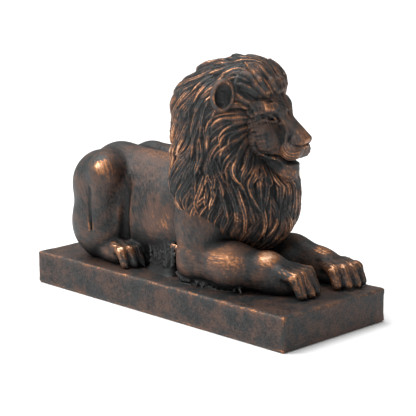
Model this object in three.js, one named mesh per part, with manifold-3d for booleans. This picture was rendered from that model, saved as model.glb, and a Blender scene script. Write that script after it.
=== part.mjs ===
// A recumbent lion on a rectangular plinth, cast in one piece.
// Millimetres. +X is the way the lion lies, +Y is its left, +Z is up.
// The origin is the centre of the plinth's underside.
import * as THREE from "three";
import { mergeVertices } from "three/addons/utils/BufferGeometryUtils.js";
import Module from "manifold-3d";

// Driving dimensions
const plinthLength = 502;
const plinthWidth = 210;
const plinthHeight = 49;
const plinthCornerRadius = 4;
const plinthEdgeBevel = 2;
const lionHeight = 317; // from the plinth's top to the crown of the mane
const headYaw = 12; // degrees, turned to the lion's left
const headBow = 10; // degrees, nose down

// The lion is modelled standing on z = 0 at this height, then brought to lionHeight.
const modelHeight = 317;
const headCentre = [80, 9, 221];

// The facets of each form are about this long.
const bodyCell = 16;
const faceCell = 9.4;
const earCell = 6.6;
const pawCell = 8.8;

const { degToRad, clamp, lerp } = THREE.MathUtils;
const vector = (point) => new THREE.Vector3(...point);
const pair = (make) => [make(-1), make(1)]; // right, left

// A frame at a place, turned about Z by yaw and then tipped about Y by pitch, in degrees.
const frameAt = (place, yaw = 0, pitch = 0) =>
  new THREE.Matrix4()
    .makeTranslation(...place)
    .multiply(new THREE.Matrix4().makeRotationZ(degToRad(yaw)))
    .multiply(new THREE.Matrix4().makeRotationY(degToRad(pitch)));

const headFrame = frameAt(headCentre, headYaw, headBow);
const neckFrame = frameAt(headCentre, headYaw);

// Masses
// Each is a function of a point that gives the distance to its skin, negative inside.

function ball(centre, radii, yaw, pitch) {
  const inverse = frameAt(centre, yaw, pitch).invert();
  const q = new THREE.Vector3();
  const [a, b, c] = radii;
  return (p) => {
    q.copy(p).applyMatrix4(inverse);
    const near = Math.hypot(q.x / a, q.y / b, q.z / c);
    const slope = Math.hypot(q.x / (a * a), q.y / (b * b), q.z / (c * c));
    return slope < 1e-9 ? -Math.min(a, b, c) : (near * (near - 1)) / slope;
  };
}

// A tapering limb with round ends.
function limb(start, end, startRadius, endRadius) {
  const from = vector(start);
  const along = vector(end).sub(from);
  const length = along.length();
  along.divideScalar(length);
  const sine = (startRadius - endRadius) / length;
  const cosine = Math.sqrt(1 - sine * sine);
  const q = new THREE.Vector3();
  return (p) => {
    q.copy(p).sub(from);
    const run = q.dot(along);
    const out = Math.sqrt(Math.max(0, q.lengthSq() - run * run));
    const foot = run - (out * sine) / cosine;
    if (foot < 0) return Math.hypot(run, out) - startRadius;
    if (foot > length) return Math.hypot(run - length, out) - endRadius;
    return out * cosine + run * sine - startRadius;
  };
}

const softMin = (a, b, blend) => {
  const h = Math.max(blend - Math.abs(a - b), 0) / blend;
  return Math.min(a, b) - (h * h * blend) / 4;
};

// Joins masses with fillets of about the given width.
const fused = (blend, first, ...others) => (p) =>
  others.reduce((sum, mass) => softMin(sum, mass(p), blend), first(p));

// A mass with others scooped out of it.
const scooped = (blend, mass, ...tools) => (p) =>
  tools.reduce((sum, tool) => -softMin(-sum, tool(p), blend), mass(p));

// Puts a mass that is modelled about the origin into a frame.
function placed(frame, mass) {
  const inverse = frame.clone().invert();
  const q = new THREE.Vector3();
  return (p) => mass(q.copy(p).applyMatrix4(inverse));
}

// The slope of a mass at a point, which is the way out of it.
function slopeOf(mass, p) {
  const e = 0.5;
  const slope = new THREE.Vector3();
  const q = p.clone();
  for (let axis = 0; axis < 3; axis++) {
    const middle = p.getComponent(axis);
    const ahead = mass(q.setComponent(axis, middle + e));
    const behind = mass(q.setComponent(axis, middle - e));
    q.setComponent(axis, middle);
    slope.setComponent(axis, (ahead - behind) / (2 * e));
  }
  return slope;
}

// Body

const trunk = fused(
  26,
  ball([-168, -2, 92], [58, 54, 75]),
  ball([-112, -4, 82], [72, 56, 79]),
  ball([-44, 0, 78], [84, 64, 82]),
  ball([44, 8, 88], [66, 66, 80]),
  limb([-186, 0, 32], [-60, 0, 32], 36, 36),
);

const hindLeg = (side) => {
  const thigh = fused(
    14,
    ball([-160, side * 52, 78], [48, 36, 80]),
    limb([-168, side * 50, 112], [-128, side * 68, 130], 40, 26),
    ball([-118, side * 72, 132], [24, 22, 25]),
  );
  const shin = fused(
    10,
    limb([-116, side * 74, 126], [-138, side * 68, 44], 22, 20),
    limb([-138, side * 68, 44], [-168, side * 60, 16], 19, 15),
  );
  const foot = limb([-170, side * 60, 14], [-110, side * 64, 17], 15, 19);
  return fused(5, thigh, shin, foot);
};

function foreleg(shoulder, elbow, forearm, wrist, girth) {
  return fused(
    14,
    ball(shoulder, [40, 32, 60]),
    limb([shoulder[0] + 4, shoulder[1], 84], elbow, 34, girth),
    limb(elbow, forearm, girth, girth),
    limb(forearm, wrist, girth, 0.78 * girth),
  );
}

const rightForeleg = foreleg([42, -52, 96], [32, -50, 31], [102, -48, 32], [160, -21, 26], 31);
const leftForeleg = foreleg([46, 62, 94], [38, 62, 28], [108, 70, 27], [166, 75, 23], 28);

// The tail comes down behind the rump and lies round to the left.
const tail = fused(
  8,
  limb([-216, 4, 50], [-232, 16, 16], 15, 10),
  limb([-232, 16, 16], [-230, 52, 9], 10, 9),
  limb([-230, 52, 9], [-214, 80, 9], 9, 9),
  ball([-198, 88, 10], [24, 12, 12], 28),
);

const bodyMass = fused(14, fused(12, trunk, rightForeleg, leftForeleg), ...pair(hindLeg), tail);

// Head, in its own frame, where X is the way it faces

const skull = fused(8, ball([2, 0, 22], [54, 46, 46]), ball([18, 0, -8], [44, 42, 40]));
const muzzle = fused(
  8,
  limb([44, 0, 16], [84, 0, -8], 21, 14),
  limb([46, 0, -8], [76, 0, -18], 27, 19),
  ...pair((side) => ball([75, side * 12, -19], [17, 13, 14])),
  ball([88, 0, -5], [9, 13, 8]),
);
const jaw = fused(8, limb([40, 0, -40], [70, 0, -41], 20, 13), ball([70, 0, -46], [13, 16, 13]));
const brows = pair((side) => limb([56, side * 13, 33], [44, side * 31, 33], 8, 6));
const sockets = pair((side) => ball([58, side * 24, 20], [11, 12, 6], side * 25));
const lips = pair((side) => limb([46, side * 27, -31], [84, side * 10, -33], 3, 2));
const faceMass = scooped(3, fused(8, skull, muzzle, jaw, ...brows), ...sockets, ...lips);

const earMass = scooped(2, ball([0, 0, 0], [12, 17, 24]), ball([10, 0, 1], [11, 12, 18]));
const earFrame = (side) => headFrame.clone().multiply(frameAt([-10, side * 66, 46], side * 52, -10));

// A paw heads along X, with its four toes side by side and the middle two further out.
function pawMass(width, height, length) {
  const toeRadius = width / 7.2;
  const toe = (place) => {
    const across = place * 0.235 * width;
    const tip = (1 - 0.14 * Math.abs(place)) * length;
    const knuckle = [0.3 * tip, across, height - toeRadius];
    return limb(knuckle, [tip - toeRadius, 1.06 * across, 0.9 * toeRadius], toeRadius, 0.95 * toeRadius);
  };
  const back = ball([-0.3 * length, 0, 0.42 * height], [0.75 * length, 0.42 * width, 0.56 * height]);
  return fused(4, back, ...[-1.5, -0.5, 0.5, 1.5].map(toe));
}

const paws = [
  { mass: pawMass(58, 42, 50), frame: frameAt([173, -14, 0], 17) },
  { mass: pawMass(56, 37, 50), frame: frameAt([184, 75, 0], -12) },
  ...pair((side) => ({ mass: pawMass(58, 36, 44), frame: frameAt([-112, side * 64, 0], side * 14) })),
];

// Mane

const maneMass = fused(
  22,
  ball([50, 9, 219], [81, 79, 86]),
  ball([36, 3, 158], [63, 78, 80]),
  ball([66, -8, 132], [56, 70, 64]),
  ball([94, 16, 122], [50, 60, 74]),
  ...pair((side) => placed(headFrame, ball([10, side * 48, -14], [32, 32, 58]))),
  placed(headFrame, ball([6, 0, 60], [32, 48, 28])),
);

// Its hair runs from the face back over the neck and down, in a tube that bends about a hinge under
// the chin. A place in it is a turn about the tube, 0 on its outer side, and a run along it.
const hinge = [88, 0, -80];
const bend = 106;
const quarterRun = (bend * Math.PI) / 2;

// Where the hair starts behind the face, and where it ends on the back, shoulders and chest.
const hairline = (turn) => lerp(27, 96, (1 - Math.cos(turn)) / 2) + 10 * Math.sin(turn) ** 2;
const hem = (turn) => quarterRun + lerp(-5, 91, (1 - Math.cos(turn)) / 2);

function hairPlace(turn, run, share) {
  const angle = Math.min(run / bend, Math.PI / 2);
  const way = new THREE.Vector3(-Math.sin(angle), 0, Math.cos(angle));
  const centre = vector(hinge).addScaledVector(way, bend);
  centre.z -= Math.max(0, run - quarterRun);
  way.multiplyScalar(Math.cos(turn));
  way.y = Math.sin(turn);
  centre.applyMatrix4(neckFrame);
  way.transformDirection(neckFrame);
  const spot = new THREE.Vector3();
  let radius = 150;
  for (let step = 0; step < 40; step++) {
    spot.copy(centre).addScaledVector(way, radius);
    radius = Math.max(12, radius - maneMass(spot));
  }
  return centre.addScaledVector(way, radius * share);
}

// Locks overlap like shingles: a ridge swells from its root to its tip, where the next one starts.
const lockColumns = 26;
const lockRows = 25;
const rowsPerLock = 5;
const lockRise = 11;
const lockGroove = 3;
const lockSway = 0.11; // radians to either side
const lockWaves = 1.7; // over the hair's whole run
const brimStart = 0.6; // at the face the hair rises from this share of the mane's radius
const brimShare = 0.13; // to its full radius, over this share of its run
const tuck = 6; // how far the first and last row dip into the forms below

function hairRise(row, column) {
  if (row === 0 || row === lockRows) return -tuck;
  if (column % 2) return -lockGroove;
  const stage = (row / rowsPerLock + 0.37 * column) % 1;
  return lockRise * lerp(0.3, 1, stage);
}

function maneGeometry() {
  const columns = 2 * lockColumns;
  const points = [];
  for (let row = 0; row <= lockRows; row++)
    for (let column = 0; column < columns; column++) {
      const along = row / lockRows;
      const turn = (2 * Math.PI * column) / columns;
      const sway = lockSway * Math.sin(2 * Math.PI * lockWaves * along + 3 * Math.sin(turn));
      const brim = 1 - Math.min(1, along / brimShare);
      const share = lerp(brimStart, 1, Math.sqrt(1 - brim * brim));
      const place = hairPlace(turn + sway, lerp(hairline(turn), hem(turn), along), share);
      const out = slopeOf(maneMass, place).normalize();
      points.push(place.addScaledVector(out, hairRise(row, column)));
    }
  const [start, end] = [0, lockRows].map((row) => {
    const ring = points.slice(row * columns, (row + 1) * columns);
    const middle = ring.reduce((sum, point) => sum.add(point), new THREE.Vector3());
    return points.push(middle.divideScalar(columns)) - 1;
  });
  const faces = [];
  for (let column = 0; column < columns; column++) {
    const next = (column + 1) % columns;
    for (let row = 0; row < lockRows; row++) {
      const [a, b] = [row * columns + column, row * columns + next];
      const [c, d] = [b + columns, a + columns];
      faces.push(...(column % 2 ? [a, b, d, b, c, d] : [a, b, c, a, c, d]));
    }
    faces.push(start, next, column);
    faces.push(end, lockRows * columns + column, lockRows * columns + next);
  }
  return new THREE.BufferGeometry().setFromPoints(points).setIndex(faces);
}

// The skin over a mass, as a closed mesh: one point in each cell of a grid that the surface crosses,
// evened out along the surface, and two faces about each edge of the grid that it crosses.
function skin(mass, low, high, cell) {
  const counts = [0, 1, 2].map((axis) => Math.ceil((high[axis] - low[axis]) / cell) + 1);
  const strides = [counts[1] * counts[2], counts[2], 1];
  const place = (i, j, k) => new THREE.Vector3(low[0] + i * cell, low[1] + j * cell, low[2] + k * cell);
  const values = new Float64Array(counts[0] * counts[1] * counts[2]);
  const eachCorner = (visit) => {
    for (let i = 0; i < counts[0]; i++)
      for (let j = 0; j < counts[1]; j++)
        for (let k = 0; k < counts[2]; k++) visit(i * strides[0] + j * strides[1] + k, [i, j, k]);
  };
  eachCorner((n, at) => {
    values[n] = mass(place(...at));
  });

  const onto = (p) => {
    const slope = slopeOf(mass, p);
    const move = -mass(p) / Math.max(slope.lengthSq(), 0.3);
    return p.addScaledVector(slope, clamp(move, -cell / 3, cell / 3));
  };

  const points = [];
  const pointOf = new Map();
  eachCorner((n, at) => {
    if (at.some((count, axis) => count === counts[axis] - 1)) return;
    const sum = new THREE.Vector3();
    let crossings = 0;
    for (let corner = 0; corner < 8; corner++) {
      const step = [corner & 1, (corner >> 1) & 1, (corner >> 2) & 1];
      const from = n + step[0] * strides[0] + step[1] * strides[1] + step[2] * strides[2];
      for (let axis = 0; axis < 3; axis++) {
        if (step[axis]) continue;
        const start = values[from];
        const end = values[from + strides[axis]];
        if (start < 0 === end < 0) continue;
        const crossing = place(at[0] + step[0], at[1] + step[1], at[2] + step[2]);
        crossing.setComponent(axis, crossing.getComponent(axis) + (cell * start) / (start - end));
        sum.add(crossing);
        crossings++;
      }
    }
    if (!crossings) return;
    pointOf.set(n, points.length);
    points.push(onto(sum.divideScalar(crossings)));
  });

  const quads = [];
  eachCorner((n, at) => {
    for (let axis = 0; axis < 3; axis++) {
      if (at[axis] === counts[axis] - 1 || values[n] < 0 === values[n + strides[axis]] < 0) continue;
      const u = strides[(axis + 1) % 3];
      const v = strides[(axis + 2) % 3];
      const ring = [n - u - v, n - v, n, n - u].map((corner) => pointOf.get(corner));
      quads.push(values[n] < 0 ? ring : ring.reverse());
    }
  });

  const neighbours = points.map(() => new Set());
  for (const ring of quads)
    ring.forEach((point, n) => neighbours[point].add(ring[(n + 1) % 4]).add(ring[(n + 3) % 4]));
  const eveningPasses = 3;
  for (let pass = 0; pass < eveningPasses; pass++) {
    const middles = points.map((point, n) => {
      const middle = new THREE.Vector3();
      for (const other of neighbours[n]) middle.add(points[other]);
      return middle.divideScalar(neighbours[n].size).lerp(point, 0.5);
    });
    middles.forEach((middle, n) => points[n].copy(onto(middle)));
  }

  const faces = quads.flatMap(([a, b, c, d]) =>
    points[a].distanceTo(points[c]) < points[b].distanceTo(points[d])
      ? [a, b, c, a, c, d]
      : [a, b, d, b, c, d],
  );
  return new THREE.BufferGeometry().setFromPoints(points).setIndex(faces);
}

// Plinth

function plinthGeometry() {
  const x = plinthLength / 2 - plinthEdgeBevel;
  const y = plinthWidth / 2 - plinthEdgeBevel;
  const r = plinthCornerRadius;
  const outline = new THREE.Shape();
  outline.moveTo(-x + r, -y);
  outline.absarc(x - r, -y + r, r, -Math.PI / 2, 0);
  outline.absarc(x - r, y - r, r, 0, Math.PI / 2);
  outline.absarc(-x + r, y - r, r, Math.PI / 2, Math.PI);
  outline.absarc(-x + r, -y + r, r, Math.PI, 1.5 * Math.PI);
  const block = new THREE.ExtrudeGeometry(outline, {
    depth: plinthHeight - 2 * plinthEdgeBevel,
    curveSegments: 3,
    bevelThickness: plinthEdgeBevel,
    bevelSize: plinthEdgeBevel,
    bevelSegments: 1,
  });
  return block.translate(0, 0, plinthEdgeBevel);
}

// The casting

const wasm = await Module();
wasm.setup();

function solid(geometry) {
  const bare = geometry.clone();
  bare.deleteAttribute("normal");
  bare.deleteAttribute("uv");
  const merged = mergeVertices(bare, 1e-4);
  const vertProperties = merged.attributes.position.array;
  const triVerts = new Uint32Array(merged.index.array);
  return new wasm.Manifold(new wasm.Mesh({ numProp: 3, vertProperties, triVerts }));
}

// Where two stretches of the skin only touch, each is drawn back by this much, so that they part.
const hair = 0.05;

function geometryOf(joined) {
  const mesh = joined.getMesh();
  const points = [];
  for (let n = 0; n < mesh.vertProperties.length; n += 3)
    points.push(vector(mesh.vertProperties.subarray(n, n + 3)));
  const neighbours = points.map(() => new Set());
  mesh.triVerts.forEach((point, n) => {
    const corner = n - (n % 3);
    for (let k = 0; k < 3; k++) neighbours[point].add(mesh.triVerts[corner + k]);
  });
  const sharers = new Map();
  points.forEach((point, n) => {
    const key = point.toArray().map((x) => x.toFixed(3)).join();
    sharers.set(key, [...(sharers.get(key) ?? []), n]);
  });
  for (const sharing of sharers.values()) {
    if (sharing.length === 1) continue;
    for (const n of sharing) {
      const back = new THREE.Vector3();
      for (const other of neighbours[n]) back.add(points[other]).sub(points[n]);
      points[n].addScaledVector(back.normalize(), hair);
    }
  }
  return new THREE.BufferGeometry().setFromPoints(points).setIndex(Array.from(mesh.triVerts));
}

const lionForms = [
  skin(bodyMass, [-262, -130, -26], [212, 130, 200], bodyCell),
  maneGeometry(),
  skin(faceMass, [-62, -58, -68], [110, 58, 82], faceCell).applyMatrix4(headFrame),
  ...pair((side) => skin(earMass, [-18, -22, -30], [18, 22, 30], earCell).applyMatrix4(earFrame(side))),
  ...paws.map(({ mass, frame }) => skin(mass, [-64, -42, -16], [66, 44, 58], pawCell).applyMatrix4(frame)),
];

const lionScale = lionHeight / modelHeight;
let casting = solid(plinthGeometry());
for (const form of lionForms) {
  form.scale(lionScale, lionScale, lionScale).translate(0, 0, plinthHeight);
  casting = casting.add(solid(form));
}

const bronze = new THREE.MeshStandardMaterial({ color: 0x4a3a32, roughness: 0.45, metalness: 0.6 });
const lionStatue = new THREE.Mesh(geometryOf(casting), bronze);
lionStatue.name = "lion_statue";

const part = new THREE.Group();
part.add(lionStatue);
export default part;
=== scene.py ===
"""A recumbent lion on its plinth, cast in bronze, with a dark patina rubbed to copper on the raised parts.

The lion is shaped in millimetres from masses: functions of points that give the distance to a skin,
negative inside. Z is the height over the plinth's top. A skin is meshed on a fine grid.
"""

import math

import bmesh
import bpy
import numpy as np
import openvdb
from mathutils import Matrix, Vector


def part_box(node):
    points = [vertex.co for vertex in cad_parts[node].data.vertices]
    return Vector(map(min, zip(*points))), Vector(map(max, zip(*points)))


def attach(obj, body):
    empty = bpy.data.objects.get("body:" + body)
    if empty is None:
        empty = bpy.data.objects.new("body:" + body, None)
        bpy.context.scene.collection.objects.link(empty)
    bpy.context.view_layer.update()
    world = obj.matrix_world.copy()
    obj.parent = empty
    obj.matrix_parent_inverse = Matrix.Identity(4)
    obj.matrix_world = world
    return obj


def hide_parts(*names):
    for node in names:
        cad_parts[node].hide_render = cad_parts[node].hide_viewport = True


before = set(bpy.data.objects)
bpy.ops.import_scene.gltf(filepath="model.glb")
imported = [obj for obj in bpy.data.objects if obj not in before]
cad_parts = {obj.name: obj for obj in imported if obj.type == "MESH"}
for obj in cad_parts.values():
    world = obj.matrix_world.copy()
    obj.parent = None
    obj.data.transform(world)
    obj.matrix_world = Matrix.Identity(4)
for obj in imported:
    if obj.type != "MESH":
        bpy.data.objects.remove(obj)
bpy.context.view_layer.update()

NODE = "lion_statue"
MM = 0.001

cad_low, cad_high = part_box(NODE)
PLINTH_LENGTH, PLINTH_WIDTH = ((cad_high - cad_low) / MM)[:2]
PLINTH_HEIGHT = 49.0
HEAD_CENTRE = (80, 9, 221)
HEAD_YAW = 12
HEAD_BOW = 10

BODY_CELL = 2.1
MANE_CELL = 1.5
HEAD_CELL = 1.15
PLINTH_CELL = 2.6

# The boxes that the skins are looked for in
BODY_BOX = ((-262, -130, -12), (250, 130, 190))
HEAD_BOX = ((-20, -90, 120), (200, 110, 320))
MANE_BOX = ((-66, -110, 20), (180, 120, 335))
MANE_SLACK = 12
MANE_FACES_KEPT = 0.77
PLINTH_MARGIN = 8

random = np.random.default_rng(7)


# Frames and masses


def frame_at(place, yaw=0.0, pitch=0.0):
    """A frame at a place, turned about Z by yaw and then about Y by pitch, in degrees."""
    turned = Matrix.Rotation(math.radians(yaw), 4, "Z") @ Matrix.Rotation(math.radians(pitch), 4, "Y")
    return np.array(Matrix.Translation(place) @ turned, np.float32)


HEAD_FRAME = frame_at(HEAD_CENTRE, HEAD_YAW, HEAD_BOW)
NECK_FRAME = frame_at(HEAD_CENTRE, HEAD_YAW)


def into(placing, points):
    """Points as they are in a frame's own axes."""
    return (points - placing[:3, 3]) @ placing[:3, :3]


def length_of(vectors):
    return np.sqrt(np.einsum("ij,ij->i", vectors, vectors))


def ball(centre, radii, yaw=0.0, pitch=0.0):
    placing = frame_at(centre, yaw, pitch)
    radii = np.array(radii, np.float32)

    def mass(points):
        q = into(placing, points) / radii
        near = length_of(q)
        return near * (near - 1) / np.maximum(length_of(q / radii), 1e-6)

    return mass


def limb(start, end, start_radius, end_radius):
    """A tapering limb with round ends."""
    start = np.array(start, np.float32)
    along = np.array(end, np.float32) - start
    length = float(np.linalg.norm(along))
    along /= length
    sine = (start_radius - end_radius) / length
    cosine = math.sqrt(1 - sine * sine)

    def mass(points):
        q = points - start
        run = q @ along
        out = np.sqrt(np.maximum(np.einsum("ij,ij->i", q, q) - run * run, 0))
        foot = run - out * (sine / cosine)
        side = out * cosine + run * sine - start_radius
        side = np.where(foot < 0, np.hypot(run, out) - start_radius, side)
        return np.where(foot > length, np.hypot(run - length, out) - end_radius, side)

    return mass


def soft_min(a, b, blend):
    h = np.maximum(blend - np.abs(a - b), 0) / blend
    return np.minimum(a, b) - h * h * (blend / 4)


def fused(blend, first, *others):
    """Masses joined with fillets of about the given width."""

    def mass(points):
        total = first(points)
        for other in others:
            total = soft_min(total, other(points), blend)
        return total

    return mass


def scooped(blend, first, *tools):
    """A mass with others scooped out of it."""

    def mass(points):
        total = first(points)
        for tool in tools:
            total = -soft_min(-total, tool(points), blend)
        return total

    return mass


def placed(placing, model):
    """A mass that is modelled about the origin, put into a frame."""
    return lambda points: model(into(placing, points))


def pair(make):
    """The same form on the right, at side -1, and on the left."""
    return [make(-1), make(1)]


def smoothly(value, start, end):
    """0 up to start and 1 from end on, with a smooth rise between them."""
    share = np.clip((value - start) / (end - start), 0, 1)
    return share * share * (3 - 2 * share)


# Meshing


BLOCK = 4
STEEPNESS = 1.2
NEAR_PASSES = 4
WIDE_PASSES = 24
PULL = 0.6


def skin_of(mass, low, high, cell, slack=4.0):
    """The skin of a mass inside a box, as points and quads. The grid is worked out in blocks of 4 x 4 x 4
    points, and only in those that the skin may pass through. The slack is for a steep relief."""
    low, high = np.array(low, np.float32), np.array(high, np.float32)
    blocks = np.ceil((high - low) / (cell * BLOCK)).astype(int)
    corners = np.indices(blocks).reshape(3, -1).T * BLOCK
    middle = mass(low + (corners + (BLOCK - 1) / 2) * np.float32(cell))
    reach = cell * BLOCK * math.sqrt(3) / 2 * STEEPNESS + slack
    near = np.abs(middle) < reach
    steps = np.indices((BLOCK,) * 3).reshape(3, -1).T
    fine = (corners[near][:, None, :] + steps).reshape(-1, 3)
    values = np.where(middle < 0, -reach, reach).astype(np.float32)[:, None] * np.ones(BLOCK**3, np.float32)
    values[near] = mass(low + fine.astype(np.float32) * np.float32(cell)).reshape(-1, BLOCK**3)
    grid = values.reshape(*blocks, BLOCK, BLOCK, BLOCK).transpose(0, 3, 1, 4, 2, 5).reshape(blocks * BLOCK)
    volume = openvdb.FloatGrid(float(reach))
    volume.copyFromArray(np.ascontiguousarray(grid))
    points, quads = volume.convertToQuads()
    return low + points.astype(np.float32) * np.float32(cell), quads.astype(np.int64)


def normals_of(points, quads):
    a, b, c, d = (points[quads[:, k]] for k in range(4))
    face = np.cross(c - a, d - b)
    normals = np.stack(
        [np.bincount(quads.ravel(), np.repeat(face[:, axis], 4), len(points)) for axis in range(3)], axis=1
    )
    return normals / np.maximum(length_of(normals), 1e-9)[:, None]


def evened(points, quads, passes):
    """Points drawn towards the middle of their neighbours, as many times as there are passes."""
    starts = np.concatenate([quads.ravel(), np.roll(quads, -1, axis=1).ravel()])
    ends = np.concatenate([np.roll(quads, -1, axis=1).ravel(), quads.ravel()])
    counts = np.bincount(starts, minlength=len(points))[:, None]
    for _ in range(passes):
        sums = np.stack([np.bincount(starts, points[ends, axis], len(points)) for axis in range(3)], axis=1)
        points = points * (1 - PULL) + sums / counts * PULL
    return points


def add_piece(name, points, quads, material, **attributes):
    """A mesh of the casting, placed over the plinth, with how far each point stands proud of what is
    near it and of what is further round it, which is what rubbing and dirt go by."""
    normals = normals_of(points, quads)
    close = evened(points, quads, NEAR_PASSES)
    wide = evened(close, quads, WIDE_PASSES)
    attributes["proud_near"] = np.einsum("ij,ij->i", points - close, normals)
    attributes["proud_wide"] = np.einsum("ij,ij->i", close - wide, normals)
    # Wear on the handled places, with a painted highlight on the top of the back and painted shade under the
    # belly, beside the forelegs and near the ground
    attributes["wear_and_painted_light"] = wear_and_painted_light_at(points)
    mesh = bpy.data.meshes.new(name)
    mesh.from_pydata(((points + (0, 0, PLINTH_HEIGHT)) * MM).tolist(), [], quads.tolist())
    for key, values in attributes.items():
        values = np.asarray(values, np.float32)
        kind, field = ("FLOAT", "value") if values.ndim == 1 else ("FLOAT_VECTOR", "vector")
        mesh.attributes.new(key, kind, "POINT").data.foreach_set(field, values.ravel())
    mesh.shade_smooth()
    mesh.materials.append(material)
    piece = bpy.data.objects.new(name, mesh)
    bpy.context.scene.collection.objects.link(piece)
    return cast_in(piece)


def wear_and_painted_light_at(points):
    """How much wear has taken the patina off, with a painted highlight on the top of the back, less painted
    shade under the belly, beside the forelegs and near the ground.
    """

    def most(places):
        total = np.zeros(len(points), np.float32)
        for place, reach, amount in places:
            distance = length_of((points - np.array(place, np.float32)) / np.array(reach, np.float32))
            total = np.maximum(total, amount * (1 - smoothly(distance, 0.2, 1)))
        return total

    near_ground = 1 - smoothly(points[:, 2], 3, 18)
    # Wear and the painted highlight, less the painted shade under the belly and the painted shade near the
    # ground
    return most(WORN_AND_PAINTED_HIGHLIGHT_PLACES) - most(PAINTED_SHADE_PLACES) - PAINTED_GROUND_SHADE * near_ground


def cast_in(piece):
    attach(piece, "root")
    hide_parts(NODE)
    return piece


# Places that are handled: where they are, how far the rubbing reaches each way, and how much it is.
# They are the knees, flanks, forearms, wrists, toes, nose, muzzle, chin, brow and the mane's side; the long
# one over the back is a painted highlight, where light from above falls on it.
WORN_AND_PAINTED_HIGHLIGHT_PLACES = (
    ((-122, -92, 146), (22, 20, 20), 1.0),
    ((-106, -92, 130), (14, 14, 14), 0.8),
    ((-124, 92, 140), (24, 22, 26), 0.7),
    ((-16, -68, 66), (62, 40, 62), 0.5),
    ((-30, 68, 70), (62, 40, 62), 0.4),
    ((48, -74, 52), (52, 24, 26), 0.75),
    ((100, -66, 46), (56, 30, 24), 0.9),
    ((156, -34, 48), (26, 26, 20), 1.3),
    ((166, 72, 46), (24, 24, 20), 0.7),
    ((-84, -74, 24), (26, 16, 22), 0.9),
    ((196, -14, 26), (26, 30, 22), 0.55),
    ((206, 68, 28), (28, 34, 20), 0.6),
    # Painted highlight: the top of the back made lighter, as light from above falls on it
    ((-40, 0, 166), (150, 60, 28), 0.75),
    ((162, 26, 208), (24, 20, 22), 1.05),
    ((156, 14, 192), (20, 24, 14), 0.9),
    ((146, 2, 190), (20, 16, 20), 0.8),
    ((146, 16, 162), (20, 22, 16), 0.8),
    ((136, 18, 230), (22, 16, 22), 0.9),
    ((130, -5, 252), (16, 18, 10), 0.8),
    ((118, 2, 256), (26, 40, 14), 0.45),
    ((20, -62, 172), (48, 34, 44), 0.45),
    ((-24, -40, 236), (34, 44, 40), 0.4),
)


# Painted shade on the fur under the belly and beside the forelegs: place, reach and amount
PAINTED_SHADE_PLACES = (
    ((-26, -70, 14), (72, 34, 58), 1.5),
    ((-26, 70, 14), (72, 34, 58), 1.5),
    ((60, -76, 2), (90, 26, 18), 0.6),
    ((60, 92, 2), (90, 26, 18), 0.6),
)
# Painted shade on the casting just over the plinth's top
PAINTED_GROUND_SHADE = 0.8


# Body


def trunk():
    return fused(
        26,
        ball((-170, -5, 90), (59, 56, 75)),
        ball((-112, -4, 82), (72, 56, 79)),
        ball((-44, 0, 78), (84, 64, 82)),
        ball((44, 8, 88), (66, 66, 80)),
        limb((-186, 0, 32), (-60, 0, 32), 36, 36),
    )


def hind_leg(side):
    knee = 128 - 3 * side
    thigh = fused(
        18,
        ball((-160, side * 52, 78), (48, 36, 80)),
        ball((-164, side * 56, 46), (44, 34, 42)),
        limb((-168, side * 50, 114), (-142, side * 64, knee - 1), 38, 26),
        ball((-131, side * 70, knee), (21, 20, 25)),
    )
    shin = fused(
        10,
        limb((-134, side * 71, 120), (-144, side * 68, 44), 20, 16),
        limb((-142, side * 68, 44), (-166, side * 60, 17), 16, 15),
    )
    foot = limb((-170, side * 60, 14), (-112, side * 60, 16), 14, 18)
    groove = path(1.6, (-145, side * 92, 110), (-149, side * 90, 84), (-145, side * 86, 48))
    return scooped(5, fused(5, thigh, shin, foot), groove)


def foreleg(shoulder, elbow, forearm, wrist, girth):
    return fused(
        14,
        ball(shoulder, (40, 32, 60)),
        limb((shoulder[0] + 4, shoulder[1], 84), elbow, 34, girth),
        limb(elbow, forearm, girth, girth),
        limb(forearm, wrist, girth, 0.78 * girth),
    )


def tail():
    return fused(
        8,
        limb((-216, 4, 50), (-232, 16, 16), 15, 10),
        limb((-232, 16, 16), (-230, 52, 9), 10, 9),
        limb((-230, 52, 9), (-214, 80, 9), 9, 9),
        ball((-198, 88, 10), (24, 12, 12), 28),
    )


TOES = (-1.5, -0.5, 0.5, 1.5)
FUR_RIDGE = 0.8
FUR_RIDGE_WIDTH = 4.6


def paw(width, height, length):
    """A paw heads along X, with its four toes side by side and the middle two further out. Furry ridges
    run down over the toes, and a claw comes out of each."""
    radius = width / 6.8

    def toe(place):
        across = place * 0.245 * width
        tip = (1 - 0.12 * abs(place)) * length
        knuckle = (-0.02 * tip, 0.8 * across, height - 1.1 * radius)
        joint = (0.56 * tip, 0.97 * across, 0.66 * height)
        end = (tip - 0.92 * radius, 1.05 * across, 0.86 * radius)
        claw = (tip - 0.3 * radius, 1.06 * across, 1.0 * radius)
        point = (tip + 0.2 * radius, 1.07 * across, 0.2 * radius)
        upper = limb(knuckle, joint, 0.92 * radius, 0.98 * radius)
        lower = limb(joint, end, 0.98 * radius, 0.86 * radius)
        return fused(1.2, fused(4, upper, lower), limb(claw, point, 2, 0.9))

    back = ball((-0.3 * length, 0, 0.42 * height), (0.8 * length, 0.45 * width, 0.56 * height))
    whole = fused(5, back, *[toe(place) for place in TOES])

    def mass(points):
        x, y, z = points.T
        spread = y / (0.75 + 0.25 * np.clip(x / length, 0, 1))
        ridges = np.cos(2 * math.pi * (spread / FUR_RIDGE_WIDTH + 0.2 * np.sin(0.3 * x + 0.2 * y)))
        over_toes = smoothly(x, -0.15 * length, 0.1 * length) * smoothly(x, 0.98 * length, 0.7 * length)
        return whole(points) - FUR_RIDGE * ridges * over_toes * smoothly(z, 0.2 * height, 0.5 * height)

    return mass


FRINGE_REACH = 16
FRINGE_SINK = 2.5
FRINGE_CURVE = 1.6


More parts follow.
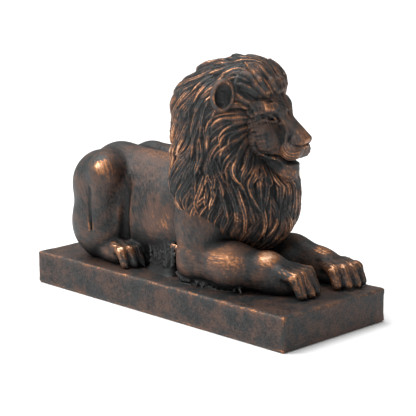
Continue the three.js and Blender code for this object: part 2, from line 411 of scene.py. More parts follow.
def fringe(start, end, outward, tufts, height):
    """Fur that hangs to the plinth along a line: a low skirt, and small tufts on it that point out
    and forward."""
    start = np.array(start, np.float32)
    along = np.array(end, np.float32) - start
    length = float(np.linalg.norm(along))
    along /= length
    out = np.array([along[1], -along[0]]) * outward
    pitch = length / tufts
    roots = random.uniform(-0.4, 0.4, tufts) * pitch
    reach = random.uniform(10, 23, tufts)
    lean = random.uniform(0.5, 1.8, tufts)
    girth = random.uniform(1.8, 4.0, tufts)

    def mass(points):
        run, off, z = (points[:, :2] - start) @ along, (points[:, :2] - start) @ out, points[:, 2]
        taper = smoothly(0.5 * length - np.abs(run - 0.5 * length), -2, 20)
        fall = (1 - np.clip(off / FRINGE_REACH, 0, 1)) ** FRINGE_CURVE
        under = height * taper * fall - FRINGE_SINK
        ends = 0.5 * np.maximum(np.abs(run - 0.5 * length) - 0.5 * length, np.abs(off) - FRINGE_REACH)
        total = np.maximum(0.25 * (z - under), ends)
        home = np.floor(run / pitch).astype(int)
        for step in (-3, -2, -1, 0, 1):
            n = np.clip(home + step, 0, tufts - 1)
            ahead = run - (n + 0.5) * pitch - roots[n]
            slant = np.sqrt(1 + lean[n] ** 2)
            t = np.clip((off + ahead * lean[n]) / (slant * reach[n] * slant), 0, 1)
            rise = height * (1 - t) ** FRINGE_CURVE + 0.5
            q = (off - t * reach[n]) ** 2 + (ahead - t * reach[n] * lean[n]) ** 2 + (z - rise) ** 2
            total = np.minimum(total, 0.8 * (np.sqrt(q) - girth[n] * (1 - 0.85 * t)))
        return total

    return mass


def fur_strokes(points):
    """How the fur lies: along the forelegs and the feet, and down and forward on the rest."""
    x, y, z = points.T
    low = smoothly(z, 62, 52)
    slope = math.radians(62) * (1 - low)
    across = (x + 60) * np.sin(slope) + (z - 60) * np.cos(slope)
    along = (x + 60) * np.cos(slope) - (z - 60) * np.sin(slope)
    return np.stack([across * 0.36, y * 0.36, along * 0.05], axis=1)


def body():
    forelegs = (
        foreleg((44, -52, 96), (42, -50, 31), (104, -48, 32), (160, -21, 26), 31),
        foreleg((48, 62, 94), (46, 62, 28), (108, 70, 27), (166, 75, 23), 28),
    )
    whole = fused(17, fused(10, trunk(), *forelegs), *pair(hind_leg), tail())
    shin_line = ((-100, 64, 150), (-97, 64, 112), (-106, 58, 36))
    belly_line = ((-88, 72, 4), (-40, 77, 8), (-8, 79, 8))
    elbow_line = ((14, 74, 118), (15, 72, 84), (20, 70, 30))
    behind_shins = pair(lambda side: path(8, *sided(side, *shin_line)))
    under_belly = pair(lambda side: path(19, *sided(side, *belly_line)))
    behind_elbows = pair(lambda side: path(3, *sided(side, *elbow_line)))
    whole = scooped(10, scooped(6, scooped(5, whole, *behind_shins), *under_belly), *behind_elbows)
    wrists = (ball((152, -27, 43), (19, 16, 15), 25), ball((158, 74, 33), (16, 14, 12)))
    paws = [
        placed(frame_at((173, -14, 0), 17), paw(58, 42, 50)),
        placed(frame_at((184, 75, 0), -12), paw(56, 37, 50)),
        *pair(lambda side: placed(frame_at((-108, side * 60, 0), side * 6), paw(50, 35, 46))),
    ]
    fringes = (
        fringe((-62, -50), (6, -58), 1, 19, 42),
        fringe((16, -72), (126, -56), 1, 30, 10),
        fringe((-62, 50), (10, 58), -1, 19, 42),
        fringe((16, 81), (126, 87), -1, 30, 10),
    )
    return fused(3, fused(7, whole, *wrists, *paws), *fringes)


# Head, in its own frame, where X is the way it faces


def path(radius, *points):
    """A round rod along points."""
    return fused(1.0, *[limb(a, b, radius, radius * 0.99) for a, b in zip(points, points[1:])])


def slab(centre, half, rounding, yaw=0.0, pitch=0.0):
    placing = frame_at(centre, yaw, pitch)
    core = np.array(half, np.float32) - rounding

    def mass(points):
        q = np.abs(into(placing, points)) - core
        return length_of(np.maximum(q, 0)) + np.minimum(q.max(axis=1), 0) - rounding

    return mass


def sided(side, *points):
    return [(x, side * y, z) for x, y, z in points]


def face():
    skull = fused(
        9,
        ball((-2, 0, 24), (51, 43, 43)),
        ball((14, 0, -8), (42, 40, 38)),
        ball((28, 0, 38), (21, 22, 18)),
    )
    bridge = slab((65.2, 0, 10.2), (31, 12.3, 12), 5, pitch=31)
    wings = pair(lambda side: ball((84, side * 9, -1), (10, 7, 5.5), side * -20, 24))
    cheeks = pair(lambda side: ball((32, side * 20, -6), (30, 19, 24)))
    muzzle = limb((46, 0, -10), (76, 0, -12), 26, 17)
    pads = pair(lambda side: ball((76.6, side * 11.5, -15.5), (17, 13.5, 14), side * 10))
    brow_line = ((52, 8, 33), (45, 18, 36.5), (36, 27, 36.5), (27, 33, 31))
    brows = pair(lambda side: path(6, *sided(side, *brow_line)))
    jaw = fused(8, limb((36, 0, -40), (68, 0, -43), 20, 15), ball((72, 0, -46), (15, 16.5, 15)))
    solid = fused(9, fused(10, skull, muzzle, *cheeks, *brows), bridge, jaw)
    return eyed(engraved(fused(4, solid, *wings, *pads)))


# Lines of the face as they are drawn on its side, each with a width, a depth, and its points as X and Z.
# A depth under zero is a fold that stands out.
FACE_LINES = (
    (
        1.5,
        3.4,
        ((43, -25.5), (50, -27.5), (60, -27), (69, -29.3), (77, -32.3), (85, -30.6), (93, -27), (102, -26)),
    ),
    (2.4, -1.5, ((46, -31.5), (56, -31.5), (66, -33.5), (77, -37), (86, -35), (98, -31.5))),
    (1.5, 1.7, ((74, 4), (75, -2), (79, -5.2), (85, -6), (91, -5), (102, -4))),
    (3.4, 1.9, ((57, 14), (63, 5), (65, -4), (63, -13), (60, -21))),
    (2.6, -1.0, ((69, 5), (71, -3), (70, -12))),
    (2.2, 1.3, ((38, 45), (46, 42), (52, 36))),
    (2.4, -1.7, ((24, 23), (17, 27), (9, 26), (4, 20), (3, 12))),
    (2.2, -1.5, ((27, 34), (18, 40), (8, 42), (-2, 40))),
    (2.0, 1.5, ((26, 19), (16, 19), (10, 12), (9, 2))),
    (2.2, 1.2, ((25, 28), (16, 33), (6, 34))),
    (2.2, -1.3, ((44, 9), (36, 5), (24, 6), (14, 0))),
    (2.0, 1.0, ((48, 3), (38, -2), (26, -2), (17, -9))),
    (2.2, -1.1, ((50, -6), (40, -9), (28, -10), (20, -18))),
    (2.4, 1.6, ((42, -24), (37, -17), (36, -10))),
)


def engraved(solid):
    """The face with its lines, the whiskers' furrows and the nostrils."""

    def mass(points):
        flat = points * (1, 0, 1)
        total = solid(points)
        for width, depth, line in FACE_LINES:
            off = path(0.01, *[(x, 0, z) for x, z in line])(flat)
            total = total + depth * np.exp(-((off / width) ** 2))
        x, y, z = points.T
        out = np.hypot(x - 85, z + 2)
        on_pads = 1 - smoothly(length_of((flat - (78, 0, -17)) / (17, 1, 15)), 0.75, 1.1)
        furrows = 0.55 * np.cos(2 * math.pi * out / 4.4) * smoothly(np.abs(y), 5, 10) * smoothly(out, 7, 11)
        under_nose = smoothly(x, 84, 90) * smoothly(z, -30, -24) * smoothly(z, 1, -5)
        parting = 1.6 * np.exp(-((y / 1.5) ** 2)) * under_nose
        frown = 1.8 * np.exp(-((y / 2.6) ** 2)) * smoothly(z, 22, 32) * smoothly(z, 62, 50) * (x > 20)
        return total - furrows * on_pads + parting + frown

    return scooped(1, mass, *pair(lambda side: ball((94.5, side * 5.5, -4), (5.5, 3.4, 2.4), side * 30)))


def eyed(solid):
    """The face with its eyes: half closed, under heavy brows."""
    sockets = pair(lambda side: ball((43, side * 23.5, 23.5), (16, 8, 4.4), side * -42, 14))
    eyeballs = pair(lambda side: ball((35.6, side * 20.2, 23), (8.4, 8.4, 8.4)))
    upper = ((50, 14.5, 19.5), (48, 18.5, 24.2), (43.5, 24, 27.6), (37, 29, 28.2), (29, 33.5, 26.5))
    lower = ((50, 14.5, 18.4), (46.5, 20, 18.4), (41, 26, 19.2), (34.5, 30.5, 21.8), (29, 33.5, 25.4))
    lids = []
    for side in (-1, 1):
        lids += [path(1.9, *sided(side, *upper)), path(1.6, *sided(side, *lower))]
    open_face = fused(1.2, scooped(3, solid, *sockets), *eyeballs)
    pupils = pair(lambda side: ball((43.6, side * 23.8, 23.6), (3.0, 3.0, 3.0)))
    return fused(1.6, scooped(0.6, open_face, *pupils), *lids)


def ear(side):
    """A cup with a thick rim, and soft tufts that grow up inside it."""
    shell = scooped(2, ball((0, 0, 0), (12, 17, 24)), ball((11, 0, 1), (12, 12.5, 19)))
    rooted = [
        path(1.7, (-1, -6 + 3 * n, -18), (0, -5 + 2.6 * n, -8), (-1, -4 + 2.2 * n, 4)) for n in range(5)
    ]
    placing = HEAD_FRAME @ frame_at((-10, side * 66, 46), side * 52, -10)
    mirrored = np.diag([1, -side, 1]).astype(np.float32)
    inner = fused(1.6, shell, *rooted)
    return placed(placing, lambda points: inner(points @ mirrored))


def forelock(n):
    """A tuft that rises from the forehead and curls back into the mane, n places from the middle."""
    side, back, sway = 7.0 * n, 0.75 * n * n, math.sin(2.7 * n)
    root = (31 - back, 0.9 * side, 48 + 2 * sway)
    brow = (40 - back, side + 1.5 * sway, 60 + 3 * sway)
    rise = (35 - back + 1.5 * sway, 1.1 * side - 2 * sway, 70 + 3 * sway)
    tip = (8 - back, 1.15 * side + 3 * sway, 86 + 3 * sway)
    parts = (limb(root, brow, 2.5, 3.9), limb(brow, rise, 3.9, 4.4), limb(rise, tip, 4.4, 2.0))
    return placed(HEAD_FRAME, fused(2, *parts))


def head():
    short_hair = ShortHair()
    skin = placed(HEAD_FRAME, face())
    tufts = [forelock(n) for n in range(-4, 5)]
    return fused(3, lambda points: skin(points) - short_hair.read(points), *pair(ear), *tufts)


# Mane

# Its hair runs from the face back over the neck and down, in a tube that bends about a hinge under
# the chin. A place in it is a turn about the tube, 0 on its outer side, and a run along it.
HINGE = (88, 0, -80)
BEND = 106
QUARTER_RUN = BEND * math.pi / 2


def mane_mass():
    return fused(
        22,
        ball((50, 9, 219), (81, 79, 86)),
        ball((36, 3, 158), (63, 78, 80)),
        ball((66, -8, 132), (56, 70, 64)),
        ball((94, 16, 122), (50, 60, 74)),
        *pair(lambda side: placed(HEAD_FRAME, ball((10, side * 48, -14), (32, 32, 58)))),
        ball((46, -46, 138), (34, 40, 52)),
        ball((44, 58, 142), (38, 38, 50)),
        ball((20, -23, 244), (38, 38, 27)),
        ball((22, 38, 244), (38, 38, 27)),
        placed(HEAD_FRAME, ball((6, 0, 60), (32, 48, 28))),
    )


def hairline(turn):
    """Where the hair starts behind the face."""
    return 27 + 69 * (1 - np.cos(turn)) / 2 + 10 * np.sin(turn) ** 2


def hem(turn):
    """Where the hair ends on the back, shoulders and chest."""
    return QUARTER_RUN - 5 + 96 * (1 - np.cos(turn)) / 2 + 18 * np.sin(turn) ** 2 * (1 + np.cos(turn))


def hair_place(points):
    """The turn and the run of points."""
    q = into(NECK_FRAME, points)
    x, z = q[:, 0] - HINGE[0], q[:, 2] - HINGE[2]
    above = z > 0
    out = np.where(above, np.hypot(x, z), -x)
    run = np.where(above, BEND * np.arctan2(-x, np.maximum(z, 0)), QUARTER_RUN - z)
    return np.arctan2(q[:, 1], out - BEND), run


class HairMap:
    """A map of a relief of hair over turn and run, with locks painted on it one by one. Beside the height
    it keeps the strand under each point: how far across its lock, how far along, and which lock."""

    turns = 720
    runs = 400
    first_run = -60
    last_run = 320
    coarse = 12

    def __init__(self, mass, lock_rise, strand_rise, strand_width):
        self.lock_rise = lock_rise
        self.strand_rise = strand_rise
        self.strand_width = strand_width
        self.step = (self.last_run - self.first_run) / (self.runs - 1)
        self.turn = np.linspace(-np.pi, np.pi, self.turns, endpoint=False, dtype=np.float32)
        self.run = np.linspace(self.first_run, self.last_run, self.runs, dtype=np.float32)
        self.radius, self.stretch = self.metric(mass)
        self.height = np.zeros((self.turns, self.runs), np.float32)
        self.strand = np.zeros((self.turns, self.runs, 3), np.float32)
        self.strand[..., 0] = self.turn[:, None] * 80
        self.strand[..., 1] = self.run

    def metric(self, mass):
        """Millimetres for each radian of turn, and for each millimetre of run, over the whole map."""
        turn, run = np.meshgrid(self.turn[:: self.coarse], self.run[:: self.coarse], indexing="ij")
        shape = turn.shape
        turn, run = turn.ravel(), run.ravel()
        angle = np.clip(run / BEND, -math.pi / 2, math.pi / 2)
        way = np.stack([-np.sin(angle), np.zeros_like(angle), np.cos(angle)], axis=1)
        centre = np.array(HINGE) + way * BEND
        centre[:, 2] -= np.maximum(0, run - QUARTER_RUN)
        way *= np.cos(turn)[:, None]
        way[:, 1] = np.sin(turn)
        axes = NECK_FRAME[:3, :3]
        centre = centre @ axes.T + NECK_FRAME[:3, 3]
        way = way @ axes.T
        radius = np.full(len(turn), 150.0)
        for _ in range(40):
            spot = (centre + way * radius[:, None]).astype(np.float32)
            radius = np.maximum(12, radius - mass(spot))
        out = np.maximum(BEND + radius * np.cos(turn), 20)
        stretch = np.where(run < QUARTER_RUN, out / BEND, 1)
        return (self.widened(x.reshape(shape)) for x in (radius, stretch))

    def widened(self, rough):
        """A coarse map brought to the full fineness."""
        rough = np.concatenate([rough, rough[:1]])
        across = np.arange(self.turns) / self.coarse
        low = across.astype(int)
        share = (across - low)[:, None]
        rows = rough[low] * (1 - share) + rough[low + 1] * share
        along = np.arange(self.runs) / self.coarse
        low = np.minimum(along.astype(int), rough.shape[1] - 2)
        share = np.minimum(along - low, 1)
        return (rows[:, low] * (1 - share) + rows[:, low + 1] * share).astype(np.float32)

    def index(self, turn, run):
        across = (turn + np.pi) / (2 * np.pi) * self.turns
        along = np.clip((run - self.first_run) / self.step, 0, self.runs - 1.001)
        return across, along

    def scale_at(self, turn, run):
        across, along = self.index(turn, run)
        row, column = int(across) % self.turns, int(along)
        return self.radius[row, column], self.stretch[row, column]

    def paint(self, turn, run, length, width, lift, heading, wave, phase):
        """Lays one lock: it starts at a place, heads along the run, sways, and narrows to its tip."""
        across, along = self.index(turn, run)
        radius, stretch = self.scale_at(turn, run)
        per_row = radius * 2 * math.pi / self.turns
        per_column = stretch * self.step
        share = np.linspace(0, 1, 26, dtype=np.float32)
        angle = heading + wave * np.sin(2 * math.pi * (0.8 * share + phase))
        pace = length / (len(share) - 1)
        u = np.concatenate([[0], np.cumsum(np.sin(angle[1:]) * pace)])
        v = np.concatenate([[0], np.cumsum(np.cos(angle[1:]) * pace)])
        reach_rows = int(max(abs(u.min() - width), abs(u.max() + width)) / per_row) + 1
        first, last = int((v.min() - width) / per_column) - 1, int((v.max() + width) / per_column) + 2
        rows = np.arange(int(across) - reach_rows, int(across) + reach_rows + 1)
        columns = np.arange(max(0, int(along) + first), min(self.runs, int(along) + last))
        if len(columns) < 2:
            return
        pu = ((rows - across) * per_row)[:, None, None]
        pv = ((columns - along) * per_column)[None, :, None]
        nearest = ((pu - u) ** 2 + (pv - v) ** 2).argmin(axis=2)
        du, dv, a = pu[..., 0] - u[nearest], pv[..., 0] - v[nearest], angle[nearest]
        aside = du * np.cos(a) - dv * np.sin(a)
        ahead = du * np.sin(a) + dv * np.cos(a)
        s = share[nearest] + ahead / length
        inside = (s > -0.04) & (s < 1)
        s = np.clip(s, 0, 1)
        swell = 0.6 + 0.4 * np.sin(np.pi * np.minimum(s / 0.8, 1) / 2)
        half = np.maximum(width * swell * (1 - s**2.5) ** 0.75, 0.3)
        edge = np.abs(aside) / half
        crown = np.maximum(1 - edge**2, 0) ** 0.6
        strands = self.strand_rise * np.cos(2 * math.pi * (aside / self.strand_width + phase)) * crown
        settle = 1 - 0.45 * smoothly(s, 0.72, 1)
        root = 0.5 + 0.5 * smoothly(s, 0, 0.25)
        height = lift * (0.1 + 0.9 * s) * settle + (self.lock_rise * crown + strands) * root
        window = np.ix_(rows % self.turns, columns)
        above = (edge < 1) & inside & (height > self.height[window])
        self.height[window] = np.where(above, height, self.height[window])
        strand = np.stack([aside, s * length, np.full_like(aside, 97 * phase)], axis=2)
        self.strand[window] = np.where(above[..., None], strand, self.strand[window])

    def read(self, points):
        """How far the hair stands over what it grows on."""
        across, along = self.index(*hair_place(points))
        a = np.floor(across).astype(int)
        b = along.astype(int)
        s, t = across - a, along - b
        a, c = a % self.turns, (a + 1) % self.turns
        here = self.height[a, b] * (1 - t) + self.height[a, b + 1] * t
        there = self.height[c, b] * (1 - t) + self.height[c, b + 1] * t
        return here * (1 - s) + there * s

    def strand_at(self, points):
        """The strand under each point, from the cells round it that belong to the same lock."""
        across, along = self.index(*hair_place(points))
        low, first = np.floor(across).astype(int), along.astype(int)
        s, t = across - low, along - first
        nearest = self.strand[np.round(across).astype(int) % self.turns, np.round(along).astype(int)]
        total, weights = np.zeros((len(points), 3)), np.full((len(points), 1), 1e-6)
        shares = {(0, 0): (1 - s) * (1 - t), (1, 0): s * (1 - t), (0, 1): (1 - s) * t, (1, 1): s * t}
        for (row, column), share in shares.items():
            strand = self.strand[(low + row) % self.turns, first + column]
            weight = (share * (np.abs(strand[:, 2] - nearest[:, 2]) < 0.01))[:, None]
            total += strand * weight
            weights += weight
        return np.where(weights > 1e-3, total / weights, nearest)


# At the face the mane starts from this share of its mass's radius, and is full after this share of its run
BRIM_START = 0.72
BRIM_SHARE = 0.22

# The rows of locks, counted from the hairline, and how far apart the locks of a row are
FIRST_ROW = -34.0
LAST_ROW = 300.0
ROW_STEP = 10.0
LOCK_STEP = 10.5


class LongHair(HairMap):
    """The mane: locks in jittered rows, which flow together in slow waves and lie over each other."""

    def __init__(self, mass):
        super().__init__(mass, lock_rise=4.6, strand_rise=1.0, strand_width=3.5)
        turn, run = self.turn[:, None], self.run[None, :]
        past_hem = (run - hem(turn)) * self.stretch
        self.height -= 20 * smoothly(past_hem, -6, 16)
        for run_out in np.arange(FIRST_ROW, LAST_ROW, ROW_STEP):
            turn = -math.pi
            while turn < math.pi:
                turn += self.lock_at(turn, run_out)
        self.height -= 2.4
        self.height -= self.drop()

    def lock_at(self, turn, run_out):
        """Lays a lock near a place. Returns how much further round the next one belongs."""
        first, last = hairline(turn) - 4, hem(turn) - 14
        radius, stretch = self.scale_at(turn, first + run_out)
        run = first + run_out / stretch + random.uniform(-5, 5)
        if run < last:
            growth = float(smoothly((run - first) * stretch, -30, 36))
            crown = math.exp(-(((run - 26) / 55) ** 2) - (turn / 1.0) ** 2)
            length = random.uniform(34, 56) + 34 * growth
            width = random.uniform(3.8, 5.4) + 2.4 * growth
            clump = math.sin(5 * turn + 0.05 * run) * math.sin(0.07 * run + 2 * turn + 1)
            lift = (0.4 + 0.6 * growth) * random.uniform(0.6, 6.4) + 3.0 * clump * growth
            length *= 1 - 0.4 * crown
            lift += crown * (6.0 * max(0, math.sin(0.21 * run + 3 * turn)) + random.uniform(-2, 4))
            hang = 0.8 * max(math.pi / 2 - run / BEND, 0) * math.sin(turn)
            hang *= float(smoothly((run - first) * stretch, 0, 70))
            heading = hang + 0.22 * math.sin(2.3 * turn + 0.035 * run) + random.normal(0, 0.1)
            phase = 0.5 * turn + run / 95 + random.normal(0, 0.08)
            near = random.uniform(-0.4, 0.4) * 9 / radius
            self.paint(turn + near, run, length, width, lift, heading, random.uniform(0.22, 0.52), phase)
        return LOCK_STEP / radius

    def drop(self):
        """How far the mane's mass draws in near the face."""
        turn, run = self.turn[:, None], self.run[None, :]
        along = (run - hairline(turn)) / (hem(turn) - hairline(turn))
        brim = 1 - np.clip(along / BRIM_SHARE, 0, 1)
        start = BRIM_START + 0.22 * smoothly(np.cos(turn), 0.2, 0.95)
        share = start + (1 - start) * (1 - brim**2)
        before_face = np.maximum(hairline(turn) - run, 0) * self.stretch
        return ((1 - share) * self.radius + 0.6 * before_face).astype(np.float32)


class ShortHair(HairMap):
    """The coat on the sides of the head, which grows out of the face into the mane."""

    def __init__(self):
        skull = ball((2, 0, 12), (56, 46, 52))
        super().__init__(placed(HEAD_FRAME, skull), lock_rise=1.3, strand_rise=0.35, strand_width=2.8)
        for run_out in np.arange(-46, 24, 2.0):
            for turn in np.arange(-math.pi, math.pi, 0.05):
                run = hairline(turn) + run_out + random.uniform(-1, 1)
                radius, stretch = self.scale_at(turn, run)
                if random.random() > 0.1 * radius * stretch / (4.5 * 9):
                    continue
                growth = float(smoothly(run_out, -46, 4))
                length = random.uniform(16, 24) + 16 * growth
                heading = 0.25 * math.sin(2 * turn) + random.normal(0, 0.1)
                phase = 0.5 * turn + run / 70 + random.normal(0, 0.08)
                self.paint(turn, run, length, 1.9 + 2.2 * growth, 0.3 + 1.2 * growth, heading, 0.3, phase)
        run_out = self.run[None, :] - hairline(self.turn[:, None])
        self.height *= smoothly(run_out, -50, -6)


def mane():
    mass = mane_mass()
    hair = LongHair(mass)
    return hair, lambda points: mass(points) - hair.read(points)


# Plinth


PLINTH_ROUNDING = 2.2


def plinth():
    """The block, a little uneven, as if modelled by hand."""
    middle = np.array((0, 0, -PLINTH_HEIGHT / 2), np.float32)
    core = np.array((PLINTH_LENGTH, PLINTH_WIDTH, PLINTH_HEIGHT), np.float32) / 2 - PLINTH_ROUNDING

    def mass(points):
        x, y, z = points.T
        q = np.abs(points - middle) - core
        block = length_of(np.maximum(q, 0)) + np.minimum(q.max(axis=1), 0) - PLINTH_ROUNDING
        waves = np.sin(0.043 * x + 1.7 * np.sin(0.05 * y)) * np.sin(0.061 * y + 0.9 * np.sin(0.037 * x))
        waves += 0.5 * np.sin(0.13 * x + 2 * np.sin(0.09 * y + 0.05 * z)) * np.sin(0.11 * y + 0.14 * z)
        worn = 0.45 + 0.4 * waves
        return block + worn * smoothly(z, 2 - PLINTH_HEIGHT, 12 - PLINTH_HEIGHT)

    return mass


# Materials


def put(tree, kind, settings=None, **inputs):
    """Adds a node. An input is a socket to link from or a plain value, and is named as on the node,
    with _ for a space, or by its number, as in in_0."""
    node = tree.nodes.new(kind)
    for key, value in (settings or {}).items():
        setattr(node, key, value)
    for key, value in inputs.items():
        socket = node.inputs[int(key[3:])] if key.startswith("in_") else node.inputs[key.replace("_", " ")]
        if isinstance(value, bpy.types.NodeSocket):
            tree.links.new(value, socket)
        else:
            socket.default_value = value
    return node


def math_of(tree, operation, *values):
    inputs = {f"in_{n}": value for n, value in enumerate(values)}
    return put(tree, "ShaderNodeMath", {"operation": operation}, **inputs).outputs[0]


def ranged(tree, value, low, high, to_low=0.0, to_high=1.0):
    settings = {"interpolation_type": "SMOOTHSTEP"}
    inputs = dict(Value=value, From_Min=low, From_Max=high, To_Min=to_low, To_Max=to_high)
    return put(tree, "ShaderNodeMapRange", settings, **inputs).outputs[0]


def mixed(tree, share, a, b):
    node = put(tree, "ShaderNodeMix", {"data_type": "RGBA"}, Factor=share)
    for socket, value in ((node.inputs[6], a), (node.inputs[7], b)):
        if isinstance(value, bpy.types.NodeSocket):
            tree.links.new(value, socket)
        else:
            socket.default_value = (*value, 1)
    return node.outputs[2]


DARK_PATINA = (0.0055, 0.006, 0.0065)
GREY_PATINA = (0.032, 0.034, 0.034)
BROWN_PATINA = (0.085, 0.047, 0.034)
COPPER = (0.42, 0.185, 0.085)
PALE_COPPER = (0.74, 0.49, 0.34)


# How many to a metre, about
BLOTCHES = 52
GRAIN = 420
PITS = 330


def patina_group():
    """Dark patina in the hollows, grey and brown on the open surface and copper where it is worn. The wear
    input also brings a painted highlight and painted shade.
    """
    tree = bpy.data.node_groups.new("rubbed patina", "ShaderNodeTree")
    for name in ("Near", "Wide", "WearAndPaintedLight", "Stroke", "Mottling", "Patchiness"):
        tree.interface.new_socket(name, in_out="INPUT", socket_type="NodeSocketFloat")
    for name, kind in (("Color", "Color"), ("Roughness", "Float"), ("Metallic", "Float")):
        tree.interface.new_socket(name, in_out="OUTPUT", socket_type=f"NodeSocket{kind}")
    given = tree.nodes.new("NodeGroupInput").outputs
    place = put(tree, "ShaderNodeTexCoord").outputs["Object"]
    clouds = put(tree, "ShaderNodeTexNoise", Vector=place, Scale=given["Mottling"], Detail=6, Roughness=0.65)
    clouds = clouds.outputs[0]
    blotches = put(tree, "ShaderNodeTexNoise", Vector=place, Scale=BLOTCHES, Detail=6, Roughness=0.68)
    blotches = blotches.outputs[0]
    grain = put(tree, "ShaderNodeTexNoise", Vector=place, Scale=GRAIN, Detail=4, Roughness=0.7).outputs[0]
    proud = math_of(tree, "MULTIPLY_ADD", given["Wide"], 0.24, given["Near"])
    level = math_of(tree, "MULTIPLY_ADD", math_of(tree, "SUBTRACT", given["Stroke"], 0.5), 2.4, proud)
    level = math_of(tree, "MULTIPLY_ADD", math_of(tree, "SUBTRACT", blotches, 0.5), 1.4, level)
    level = math_of(tree, "MULTIPLY_ADD", math_of(tree, "SUBTRACT", grain, 0.5), 1.0, level)
    # The wear input brings copper where worn, a painted highlight on the back, and painted shade under the
    # belly and near the ground
    level = math_of(tree, "ADD", level, given["WearAndPaintedLight"])
    level = math_of(tree, "MULTIPLY_ADD", math_of(tree, "SUBTRACT", clouds, 0.52), given["Patchiness"], level)
    open_surface = ranged(tree, level, -0.65, 0.5)
    copper = ranged(tree, level, 0.6, 1.5)
    warm = math_of(tree, "MULTIPLY_ADD", given["WearAndPaintedLight"], 0.7, ranged(tree, clouds, 0.36, 0.62))
    warm = math_of(tree, "MULTIPLY_ADD", ranged(tree, blotches, 0.35, 0.65, -0.5, 0.5), 0.8, warm)
    color = mixed(tree, ranged(tree, warm, 0, 1.1), GREY_PATINA, BROWN_PATINA)
    color = mixed(tree, open_surface, DARK_PATINA, color)
    metal = mixed(tree, ranged(tree, level, 1.2, 2.3), COPPER, PALE_COPPER)
    color = mixed(tree, copper, color, metal)
    out = put(tree, "NodeGroupOutput")
    dull = ranged(tree, copper, 0, 1, 0.4, 0.26)
    tree.links.new(color, out.inputs["Color"])
    tree.links.new(math_of(tree, "MULTIPLY_ADD", grain, 0.2, dull), out.inputs["Roughness"])
    tree.links.new(ranged(tree, copper, 0, 1, 0.2, 1.0), out.inputs["Metallic"])
    return tree


def bronze(name, patina, wear, relief, mottling, patchiness, handling=1.0, pitting=0.0009):
    """Patinated bronze, with fine marks that follow the strokes of the piece's hair or fur."""
    material = bpy.data.materials.new(name)
    material.use_nodes = True
    tree = material.node_tree
    shader = tree.nodes["Principled BSDF"]
    near = put(tree, "ShaderNodeAttribute", {"attribute_name": "proud_near"}).outputs["Fac"]
    near = math_of(tree, "MINIMUM", math_of(tree, "MULTIPLY", near, wear), 0.8)
    wide = put(tree, "ShaderNodeAttribute", {"attribute_name": "proud_wide"}).outputs["Fac"]
    wide = math_of(tree, "MULTIPLY", wide, wear)
    # Wear, with the painted highlight on the back and painted shade under the belly and near the ground
    wear_and_painted_light = put(tree, "ShaderNodeAttribute", {"attribute_name": "wear_and_painted_light"}).outputs["Fac"]
    wear_and_painted_light = math_of(tree, "MULTIPLY", wear_and_painted_light, handling)
    strokes = put(tree, "ShaderNodeAttribute", {"attribute_name": "strokes"}).outputs["Vector"]
    stroke = put(tree, "ShaderNodeTexNoise", Vector=strokes, Scale=1, Detail=3, Roughness=0.6).outputs[0]
    worn = dict(Near=near, Wide=wide, WearAndPaintedLight=wear_and_painted_light)
    varied = dict(Stroke=stroke, Mottling=mottling, Patchiness=patchiness)
    group = put(tree, "ShaderNodeGroup", {"node_tree": patina}, **worn, **varied)
    tree.links.new(group.outputs["Color"], shader.inputs["Base Color"])
    tree.links.new(group.outputs["Roughness"], shader.inputs["Roughness"])
    tree.links.new(group.outputs["Metallic"], shader.inputs["Metallic"])
    bump = put(tree, "ShaderNodeBump", Height=stroke, Strength=1.0, Distance=relief)
    place = put(tree, "ShaderNodeTexCoord").outputs["Object"]
    pits = put(tree, "ShaderNodeTexNoise", Vector=place, Scale=PITS, Detail=4, Roughness=0.7).outputs[0]
    bump = put(tree, "ShaderNodeBump", Height=pits, Strength=0.6, Distance=pitting, Normal=bump.outputs[0])
    tree.links.new(bump.outputs[0], shader.inputs["Normal"])
    shader.inputs["Specular IOR Level"].default_value = 0.4
    return material


# Stage


FRAME_PIXELS = 416
FOCAL_PIXELS = 1600
CAMERA_AZIMUTH = 44.952
CAMERA_ELEVATION = 12.853
CAMERA_DISTANCE = 2.3274
CAMERA_RIGHT = 0.00575
CAMERA_UP = 0.1348
SKY_STRENGTH = 0.33
OVERHEAD_ENERGY = 3.7
OVERHEAD_SPREAD = 50


def camera():
    azimuth, elevation = math.radians(CAMERA_AZIMUTH), math.radians(CAMERA_ELEVATION)
    back = Vector((math.sin(azimuth), -math.cos(azimuth), 0)) * math.cos(elevation)
    back.z = math.sin(elevation)
    right = Vector((math.cos(azimuth), math.sin(azimuth), 0))
    up = back.cross(right)
    lens = bpy.data.cameras.new("camera")
    lens.sensor_width = 36
    lens.lens = lens.sensor_width * FOCAL_PIXELS / FRAME_PIXELS
    holder = bpy.data.objects.new("camera", lens)
    holder.location = back * CAMERA_DISTANCE + right * CAMERA_RIGHT + up * CAMERA_UP
    holder.rotation_mode = "QUATERNION"
    holder.rotation_quaternion = Matrix((right, up, back)).transposed().to_quaternion()
    bpy.context.scene.collection.objects.link(holder)
    bpy.context.scene.camera = holder


def soft_light(name, place, size, power, target=(0.02, 0, 0.18)):
    lamp = bpy.data.lights.new(name, "AREA")
    lamp.shape = "DISK"
    lamp.size = size
    lamp.energy = power
    holder = bpy.data.objects.new(name, lamp)
    holder.location = place
    holder.rotation_euler = (Vector(place) - Vector(target)).to_track_quat("Z", "Y").to_euler()
    bpy.context.scene.collection.objects.link(holder)


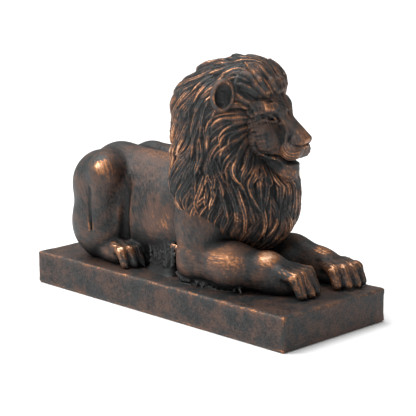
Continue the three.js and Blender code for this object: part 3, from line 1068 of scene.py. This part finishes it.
def studio():
    shape = bmesh.new()
    bmesh.ops.create_grid(shape, x_segments=1, y_segments=1, size=30)
    mesh = bpy.data.meshes.new("floor")
    shape.to_mesh(mesh)
    shape.free()
    floor = bpy.data.objects.new("floor", mesh)
    paper = bpy.data.materials.new("pale paper")
    paper.use_nodes = True
    paper.node_tree.nodes["Principled BSDF"].inputs["Base Color"].default_value = (0.93, 0.93, 0.93, 1)
    paper.node_tree.nodes["Principled BSDF"].inputs["Roughness"].default_value = 0.9
    mesh.materials.append(paper)
    bpy.context.scene.collection.objects.link(floor)
    world = bpy.data.worlds.new("studio")
    world.use_nodes = True
    world.node_tree.nodes["Background"].inputs["Color"].default_value = (1, 1, 1, 1)
    world.node_tree.nodes["Background"].inputs["Strength"].default_value = SKY_STRENGTH
    bpy.context.scene.world = world
    bpy.context.scene.view_settings.view_transform = "Standard"
    overhead = bpy.data.lights.new("overhead", "SUN")
    overhead.energy = OVERHEAD_ENERGY
    overhead.angle = math.radians(OVERHEAD_SPREAD)
    holder = bpy.data.objects.new("overhead", overhead)
    holder.rotation_euler = (Vector((-0.35, -0.15, 1))).to_track_quat("Z", "Y").to_euler()
    bpy.context.scene.collection.objects.link(holder)
    soft_light("key", (0.7, -1.4, 1.2), size=0.6, power=5)
    soft_light("window", (-1.1, -1.3, 1.2), size=0.7, power=15)


# The casting

patina = patina_group()
hide = bronze("bronze hide", patina, wear=1.7, relief=0.0006, mottling=15, patchiness=0.6)
hair_bronze = bronze("bronze hair", patina, wear=2.7, relief=0.0018, mottling=26, patchiness=2.6)
block = bronze(
    "bronze plinth", patina, wear=0.55, relief=0.0005, mottling=34, patchiness=0.3, handling=0, pitting=0.002
)

points, quads = skin_of(body(), *BODY_BOX, BODY_CELL)
add_piece("lion_body", points, quads, hide, strokes=fur_strokes(points))

points, quads = skin_of(head(), *HEAD_BOX, HEAD_CELL)
add_piece("lion_head", points, quads, hide, strokes=fur_strokes(points))

hair, mane_field = mane()
points, quads = skin_of(mane_field, *MANE_BOX, MANE_CELL, slack=MANE_SLACK)
mane_strokes = hair.strand_at(points) * (0.42, 0.03, 1)
mane_piece = add_piece("lion_mane", points, quads, hair_bronze, strokes=mane_strokes)
fewer = mane_piece.modifiers.new("fewer faces", "DECIMATE")
fewer.ratio = MANE_FACES_KEPT

plinth_high = np.array((PLINTH_LENGTH / 2, PLINTH_WIDTH / 2, 0)) + PLINTH_MARGIN
plinth_low = (-plinth_high[0], -plinth_high[1], -PLINTH_HEIGHT - PLINTH_MARGIN)
points, quads = skin_of(plinth(), plinth_low, plinth_high, PLINTH_CELL)
add_piece("plinth", points, quads, block, strokes=points * (0.3, 0.3, 0.4))

camera()
studio()
